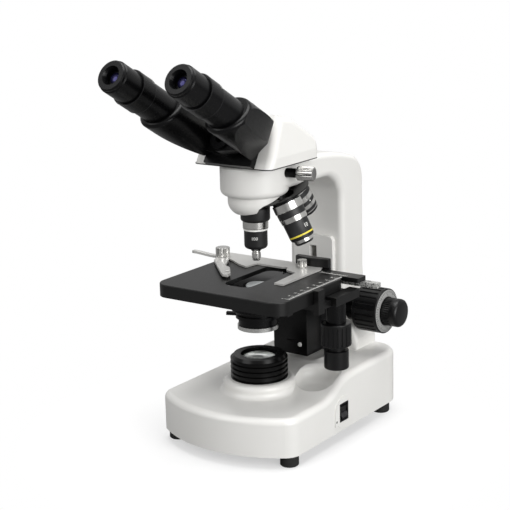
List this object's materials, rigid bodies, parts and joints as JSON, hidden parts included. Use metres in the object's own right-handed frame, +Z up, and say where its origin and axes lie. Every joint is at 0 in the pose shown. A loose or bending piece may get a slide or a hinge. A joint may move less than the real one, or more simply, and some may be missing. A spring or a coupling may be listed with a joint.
{
  "type": "binocular compound microscope",
  "caption": "Upright light microscope with inclined twin eyepieces, revolving nosepiece, cross-moving stage, condenser, lamp in the base and coaxial focus knobs.",
  "frame": {"origin": "on the bench under the optical axis, in the plane of the foot bottoms", "axes": "+X to the user's right, +Y away from the user, +Z up along the optical axis"},
  "size_m": [0.201, 0.2927, 0.3635],
  "materials": {
    "white_enamel": "smooth satin white enamel on die-cast metal",
    "black_enamel": "satin black enamel",
    "black_plastic": "satin black moulded plastic",
    "bright_chrome": "bright plated metal with black bands",
    "satin_steel": "satin plated steel",
    "satin_aluminium": "satin aluminium",
    "rubber": "matt black rubber",
    "optical_glass": "polished and coated glass",
    "circuit_board": "white lacquered lamp board"
  },
  "bodies": {
    "stand": {"base_shell": "white_enamel", "base_plate": "satin_steel", "base_screws": "satin_steel", "rubber_feet": "rubber", "lamp_collar": "black_enamel", "field_lens": "optical_glass", "lamp_reflector": "satin_aluminium", "led_board": "circuit_board", "power_inlet": "black_plastic", "switch_body": "black_plastic", "arm": "white_enamel", "focus_bushes": "black_enamel", "focus_guide": "white_enamel", "nosepiece_housing": "white_enamel", "turret_pivot": "satin_steel"},
    "switch": {"switch_rocker": "black_plastic"},
    "head": {"head_shell": "white_enamel", "head_dovetail": "satin_steel", "head_prism": "optical_glass", "swing_hub": "black_enamel"},
    "left_swing": {"left_prism_housing": "black_enamel", "left_tube_prism": "optical_glass"},
    "right_swing": {"right_prism_housing": "black_enamel", "right_tube_prism": "optical_glass"},
    "left_diopter": {"left_diopter_ring": "black_enamel"},
    "right_diopter": {"right_diopter_ring": "black_enamel"},
    "left_ocular": {"left_eyepiece": "black_enamel", "left_eye_lens": "optical_glass"},
    "right_ocular": {"right_eyepiece": "black_enamel", "right_eye_lens": "optical_glass"},
    "head_lock": {"head_lock_screw": "bright_chrome"},
    "nosepiece": {"turret": "black_enamel", "objective_4x": "bright_chrome", "objective_10x": "bright_chrome", "objective_100x": "bright_chrome", "objective_lenses": "optical_glass", "port_cap": "black_enamel"},
    "focus_carriage": {"focus_block": "black_enamel", "focus_rack": "satin_steel"},
    "coarse": {"coarse_shaft": "satin_steel", "coarse_knobs": "black_plastic"},
    "stage_mount": {"stage_bracket": "black_enamel", "stage_carrier": "black_enamel", "drive_tube": "black_enamel"},
    "fine": {"fine_shaft": "satin_steel", "fine_knobs": "black_plastic"},
    "stage_upper": {"stage_plate": "black_enamel", "cross_guide": "black_enamel"},
    "length_drive": {"length_knob": "black_plastic"},
    "cross_drive": {"cross_knob": "black_plastic"},
    "slide_holder": {"holder_carriage": "black_enamel", "cross_rack": "black_enamel", "specimen_holder": "satin_steel", "holder_screws": "bright_chrome"},
    "holder_jaw": {"holder_finger": "satin_steel"},
    "condenser": {"condenser_body": "black_enamel", "condenser_lens": "optical_glass"},
    "condenser_lift_ring": {"condenser_ring": "black_enamel"},
    "iris": {"iris_lever": "black_enamel"},
    "filter_swing": {"filter_holder": "satin_aluminium"}
  },
  "joints": [
    {"name": "switch_tip", "type": "hinge", "parent": "stand", "child": "switch", "pos_m": [0.071, 0.028, 0.029], "axis": [0, 1, 0], "range_deg": [0, 16]},
    {"name": "head_turn", "type": "hinge", "parent": "stand", "child": "head", "pos_m": [0, 0, 0.2615], "axis": [0, 0, 1], "continuous": true},
    {"name": "head_lock_turn", "type": "hinge", "parent": "stand", "child": "head_lock", "pos_m": [0, 0, 0.2525], "axis": [0.9781, 0.2079, 0], "range_deg": [0, 360]},
    {"name": "left_swing_turn", "type": "hinge", "parent": "head", "child": "left_swing", "pos_m": [0, -0.03263, 0.27947], "axis": [0, -0.866, 0.5], "range_deg": [-30, 8]},
    {"name": "right_swing_turn", "type": "hinge", "parent": "head", "child": "right_swing", "pos_m": [0, -0.03263, 0.27947], "axis": [0, -0.866, 0.5], "range_deg": [-8, 30]},
    {"name": "left_diopter_turn", "type": "hinge", "parent": "left_swing", "child": "left_diopter", "pos_m": [-0.035, -0.02953, 0.28484], "axis": [0, -0.866, 0.5], "range_deg": [-120, 120]},
    {"name": "left_ocular_draw", "type": "slide", "parent": "left_swing", "child": "left_ocular", "axis": [0, -0.866, 0.5], "range_m": [0, 0.02]},
    {"name": "right_diopter_turn", "type": "hinge", "parent": "right_swing", "child": "right_diopter", "pos_m": [0.035, -0.02953, 0.28484], "axis": [0, -0.866, 0.5], "range_deg": [-120, 120]},
    {"name": "right_ocular_draw", "type": "slide", "parent": "right_swing", "child": "right_ocular", "axis": [0, -0.866, 0.5], "range_m": [0, 0.02]},
    {"name": "nosepiece_turn", "type": "hinge", "parent": "stand", "child": "nosepiece", "pos_m": [0, 0, 0.289], "axis": [0.1278, 0.274, -0.9532], "continuous": true},
    {"name": "coarse_lift", "type": "slide", "parent": "stand", "child": "focus_carriage", "axis": [0, 0, 1], "range_m": [-0.006, 0.0143]},
    {"name": "coarse_turn", "type": "hinge", "parent": "stand", "child": "coarse", "pos_m": [0, 0.1035, 0.1065], "axis": [1, 0, 0], "range_deg": [-127, 54]},
    {"name": "fine_lift", "type": "slide", "parent": "focus_carriage", "child": "stage_mount", "axis": [0, 0, 1], "range_m": [-0.0007, 0.0007]},
    {"name": "fine_turn", "type": "hinge", "parent": "stand", "child": "fine", "pos_m": [0, 0.1035, 0.1065], "axis": [1, 0, 0], "range_deg": [-127, 127]},
    {"name": "stage_length", "type": "slide", "parent": "stage_mount", "child": "stage_upper", "axis": [0, 1, 0], "range_m": [-0.026, 0.006]},
    {"name": "length_turn", "type": "hinge", "parent": "stage_mount", "child": "length_drive", "pos_m": [0.072, 0.0205, 0.105], "axis": [0, 0, 1], "range_deg": [-250, 58]},
    {"name": "stage_cross", "type": "slide", "parent": "stage_upper", "child": "slide_holder", "axis": [1, 0, 0], "range_m": [-0.05, 0.02]},
    {"name": "cross_turn", "type": "hinge", "parent": "stage_mount", "child": "cross_drive", "pos_m": [0.072, 0.0205, 0.082], "axis": [0, 0, 1], "range_deg": [-480, 192]},
    {"name": "jaw_open", "type": "hinge", "parent": "slide_holder", "child": "holder_jaw", "pos_m": [-0.068, 0.039, 0.157], "axis": [0, 0, -1], "range_deg": [0, 25], "stiffness_Nm_per_rad": 0.02, "springref_deg": -17.19},
    {"name": "condenser_lift", "type": "slide", "parent": "stage_mount", "child": "condenser", "axis": [0, 0, 1], "range_m": [-0.008, 0.0005]},
    {"name": "condenser_turn", "type": "hinge", "parent": "condenser", "child": "condenser_lift_ring", "pos_m": [0, 0, 0.129], "axis": [0, 0, 1], "range_deg": [-241, 16]},
    {"name": "iris_turn", "type": "hinge", "parent": "condenser", "child": "iris", "pos_m": [0, 0, 0.118], "axis": [0, 0, 1], "range_deg": [-35, 35]},
    {"name": "filter_turn", "type": "hinge", "parent": "condenser", "child": "filter_swing", "pos_m": [0, 0.024, 0.108], "axis": [0, 0, 1], "range_deg": [0, 80]}
  ],
  "couplings": [
    {"joint": "right_swing_turn", "follows": "left_swing_turn", "ratio": -1},
    {"joint": "coarse_turn", "follows": "coarse_lift", "rad_per_m": -153.85},
    {"joint": "fine_turn", "follows": "fine_lift", "rad_per_m": -3141.6},
    {"joint": "length_turn", "follows": "stage_length", "rad_per_m": 166.67},
    {"joint": "cross_turn", "follows": "stage_cross", "rad_per_m": 166.67},
    {"joint": "condenser_turn", "follows": "condenser_lift", "rad_per_m": 523.6}
  ]
}
